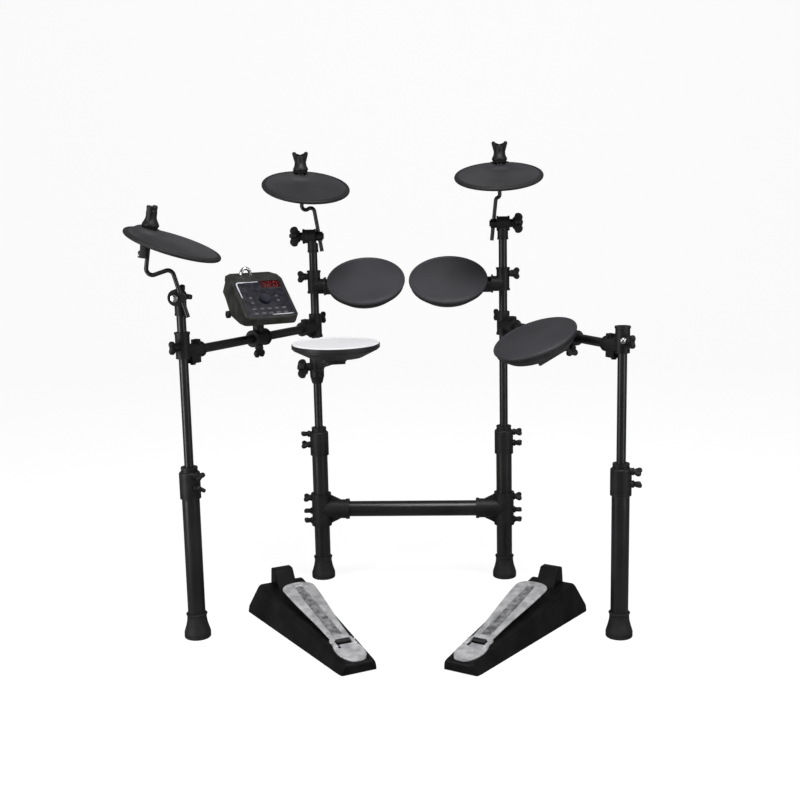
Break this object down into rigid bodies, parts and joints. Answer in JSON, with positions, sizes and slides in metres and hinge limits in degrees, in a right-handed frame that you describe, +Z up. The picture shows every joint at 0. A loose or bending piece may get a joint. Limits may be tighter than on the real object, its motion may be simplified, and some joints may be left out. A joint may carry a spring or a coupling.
{
  "type": "electronic_drum_kit",
  "caption": "Electronic drum kit: a tubular rack with swinging side arms, rubber cymbal and tom pads, a white snare pad, a sound module and foot pedals.",
  "frame": {"origin": "on the floor, in the middle of the whole kit's footprint", "axes": "+X to the drummer's right, +Y away from the drummer, +Z up"},
  "size_m": [1.1738, 0.7716, 1.18],
  "materials": {
    "black_steel": "satin black paint on steel tube",
    "black_plastic": "fine matte moulded plastic",
    "foot_rubber": "matte black rubber",
    "pad_rubber": "matte charcoal rubber",
    "white_head": "coated white drum head",
    "tread_silver": "satin silver paint",
    "display_window": "glossy dark red window"
  },
  "bodies": {
    "rack": {"rear_left_leg": "black_steel", "rear_right_leg": "black_steel", "crossbar": "black_steel", "left_tee": "black_plastic", "right_tee": "black_plastic", "rear_left_foot": "foot_rubber", "rear_right_foot": "foot_rubber", "rear_left_collar": "black_plastic", "rear_right_collar": "black_plastic", "left_pedal_base": "black_plastic", "left_pedal_heel": "tread_silver", "right_pedal_base": "black_plastic", "right_pedal_heel": "tread_silver"},
    "rear_left_post": {"rear_left_post": "black_steel"},
    "left_side": {"left_arm": "black_steel", "left_swing_clamp": "black_plastic", "left_arm_clamp": "black_plastic", "front_left_post": "black_steel", "module_clamp": "black_plastic"},
    "front_left_leg": {"front_left_leg": "black_steel", "front_left_foot": "foot_rubber", "front_left_collar": "black_plastic"},
    "rear_right_post": {"rear_right_post": "black_steel"},
    "right_side": {"right_arm": "black_steel", "right_swing_clamp": "black_plastic", "right_arm_clamp": "black_plastic", "front_right_post": "black_steel"},
    "front_right_leg": {"front_right_leg": "black_steel", "front_right_foot": "foot_rubber", "front_right_collar": "black_plastic"},
    "hihat_clamp": {"hihat_clamp": "black_plastic"},
    "hihat_rod": {"hihat_rod": "black_steel"},
    "hihat_pad": {"hihat_pad": "pad_rubber"},
    "hihat_nut": {"hihat_nut": "black_plastic"},
    "crash_clamp": {"crash_clamp": "black_plastic"},
    "crash_rod": {"crash_rod": "black_steel"},
    "crash_pad": {"crash_pad": "pad_rubber"},
    "crash_nut": {"crash_nut": "black_plastic"},
    "ride_clamp": {"ride_clamp": "black_plastic"},
    "ride_rod": {"ride_rod": "black_steel"},
    "ride_pad": {"ride_pad": "pad_rubber"},
    "ride_nut": {"ride_nut": "black_plastic"},
    "left_tom_clamp": {"left_tom_clamp": "black_plastic"},
    "left_tom": {"left_tom_shell": "black_plastic", "left_tom_pad": "pad_rubber"},
    "right_tom_clamp": {"right_tom_clamp": "black_plastic"},
    "right_tom": {"right_tom_shell": "black_plastic", "right_tom_pad": "pad_rubber"},
    "floor_tom_clamp": {"floor_tom_clamp": "black_plastic"},
    "floor_tom": {"floor_tom_shell": "black_plastic", "floor_tom_pad": "pad_rubber"},
    "snare_clamp": {"snare_clamp": "black_plastic"},
    "snare": {"snare_shell": "black_plastic", "snare_head": "white_head"},
    "module": {"module_case": "black_plastic", "module_keys": "pad_rubber", "module_display": "display_window"},
    "module_dial": {"module_dial": "black_plastic"},
    "left_pedal_board": {"left_pedal_board": "tread_silver"},
    "right_pedal_board": {"right_pedal_board": "tread_silver"}
  },
  "joints": [
    {"name": "left_height", "type": "slide", "parent": "rack", "child": "rear_left_post", "axis": [0, 0, 1], "range_m": [-0.1, 0.1]},
    {"name": "left_arm_fold", "type": "hinge", "parent": "rear_left_post", "child": "left_side", "pos_m": [-0.2132, 0.2996, 0.698], "axis": [0, 0, 1], "range_deg": [-60, 10]},
    {"name": "front_left_height", "type": "slide", "parent": "left_side", "child": "front_left_leg", "axis": [0, 0, 1], "range_m": [-0.1, 0.1]},
    {"name": "right_height", "type": "slide", "parent": "rack", "child": "rear_right_post", "axis": [0, 0, 1], "range_m": [-0.1, 0.1]},
    {"name": "right_arm_fold", "type": "hinge", "parent": "rear_right_post", "child": "right_side", "pos_m": [0.2868, 0.2996, 0.698], "axis": [0, 0, 1], "range_deg": [-10, 60]},
    {"name": "front_right_height", "type": "slide", "parent": "right_side", "child": "front_right_leg", "axis": [0, 0, 1], "range_m": [-0.1, 0.1]},
    {"name": "hihat_turn", "type": "hinge", "parent": "left_side", "child": "hihat_clamp", "pos_m": [-0.4707, -0.1464, 0.826], "axis": [0, 0, 1], "range_deg": [-90, 90]},
    {"name": "hihat_rod_tilt", "type": "hinge", "parent": "hihat_clamp", "child": "hihat_rod", "pos_m": [-0.4777, -0.1664, 0.826], "axis": [0, -1, 0], "range_deg": [-20, 20]},
    {"name": "hihat_rock", "type": "hinge", "parent": "hihat_rod", "child": "hihat_pad", "pos_m": [-0.52695, -0.1664, 0.983], "axis": [0.1736, 0.9848, 0], "range_deg": [-20, 3], "stiffness_Nm_per_rad": 5, "springref_deg": -2.01},
    {"name": "hihat_nut_turn", "type": "hinge", "parent": "hihat_rod", "child": "hihat_nut", "pos_m": [-0.52695, -0.1664, 0.983], "axis": [0.1564, 0, 0.9877], "continuous": true},
    {"name": "crash_turn", "type": "hinge", "parent": "rear_left_post", "child": "crash_clamp", "pos_m": [-0.2132, 0.2996, 0.938], "axis": [0, 0, 1], "range_deg": [-90, 90]},
    {"name": "crash_rod_tilt", "type": "hinge", "parent": "crash_clamp", "child": "crash_rod", "pos_m": [-0.1957, 0.2996, 0.938], "axis": [1, 0, 0], "range_deg": [-25, 25]},
    {"name": "crash_rock", "type": "hinge", "parent": "crash_rod", "child": "crash_pad", "pos_m": [-0.23877, 0.2996, 1.098], "axis": [0.9272, 0.3746, 0], "range_deg": [-20, 3], "stiffness_Nm_per_rad": 5, "springref_deg": -2.01},
    {"name": "crash_nut_turn", "type": "hinge", "parent": "crash_rod", "child": "crash_nut", "pos_m": [-0.23877, 0.2996, 1.098], "axis": [0, 0, 1], "continuous": true},
    {"name": "ride_turn", "type": "hinge", "parent": "rear_right_post", "child": "ride_clamp", "pos_m": [0.2868, 0.2996, 0.963], "axis": [0, 0, 1], "range_deg": [-90, 90]},
    {"name": "ride_rod_tilt", "type": "hinge", "parent": "ride_clamp", "child": "ride_rod", "pos_m": [0.2628, 0.2996, 0.963], "axis": [1, 0, 0], "range_deg": [-25, 25]},
    {"name": "ride_rock", "type": "hinge", "parent": "ride_rod", "child": "ride_pad", "pos_m": [0.27943, 0.2996, 1.114], "axis": [0.9976, -0.0698, 0], "range_deg": [-20, 3], "stiffness_Nm_per_rad": 5, "springref_deg": -2.01},
    {"name": "ride_nut_turn", "type": "hinge", "parent": "ride_rod", "child": "ride_nut", "pos_m": [0.27943, 0.2996, 1.114], "axis": [0, 0, 1], "continuous": true},
    {"name": "left_tom_turn", "type": "hinge", "parent": "rear_left_post", "child": "left_tom_clamp", "pos_m": [-0.2132, 0.2996, 0.806], "axis": [0, 0, 1], "range_deg": [-25, 25]},
    {"name": "left_tom_tilt", "type": "hinge", "parent": "left_tom_clamp", "child": "left_tom", "pos_m": [-0.1872, 0.2996, 0.806], "axis": [1, 0, 0], "range_deg": [-31, 20]},
    {"name": "right_tom_turn", "type": "hinge", "parent": "rear_right_post", "child": "right_tom_clamp", "pos_m": [0.2868, 0.2996, 0.806], "axis": [0, 0, 1], "range_deg": [-25, 25]},
    {"name": "right_tom_tilt", "type": "hinge", "parent": "right_tom_clamp", "child": "right_tom", "pos_m": [0.2608, 0.2996, 0.806], "axis": [1, 0, 0], "range_deg": [-31, 20]},
    {"name": "floor_tom_swing", "type": "hinge", "parent": "right_side", "child": "floor_tom_clamp", "pos_m": [0.4448, 0.02594, 0.698], "axis": [0.5, -0.866, 0], "range_deg": [-20, 20]},
    {"name": "floor_tom_tilt", "type": "hinge", "parent": "floor_tom_clamp", "child": "floor_tom", "pos_m": [0.42407, 0.01397, 0.68784], "axis": [-0.7972, -0.4603, -0.3907], "range_deg": [-8, 10]},
    {"name": "snare_turn", "type": "hinge", "parent": "rear_left_post", "child": "snare_clamp", "pos_m": [-0.2132, 0.2996, 0.59], "axis": [0, 0, 1], "range_deg": [-8, 25]},
    {"name": "snare_tilt", "type": "hinge", "parent": "snare_clamp", "child": "snare", "pos_m": [-0.1272, -0.0154, 0.655], "axis": [0.9647, 0.2634, 0], "range_deg": [-8, 20]},
    {"name": "module_tilt", "type": "hinge", "parent": "left_side", "child": "module", "pos_m": [-0.3322, 0.09349, 0.74], "axis": [0.866, 0.5, 0], "range_deg": [-15, 15]},
    {"name": "module_dial_turn", "type": "hinge", "parent": "module", "child": "module_dial", "pos_m": [-0.30581, 0.04578, 0.79674], "axis": [0.3119, -0.5402, 0.7816], "continuous": true},
    {"name": "left_pedal_press", "type": "hinge", "parent": "rack", "child": "left_pedal_board", "pos_m": [-0.10347, -0.28695, 0.04347], "axis": [-0.8712, -0.4909, 0], "range_deg": [0, 4.5], "stiffness_Nm_per_rad": 25, "springref_deg": -2.86},
    {"name": "right_pedal_press", "type": "hinge", "parent": "rack", "child": "right_pedal_board", "pos_m": [0.21107, -0.28695, 0.04347], "axis": [-0.8712, 0.4909, 0], "range_deg": [0, 4.5], "stiffness_Nm_per_rad": 25, "springref_deg": -2.86}
  ],
  "couplings": [
    {"joint": "front_left_height", "follows": "left_height", "ratio": -1},
    {"joint": "front_right_height", "follows": "right_height", "ratio": -1}
  ]
}
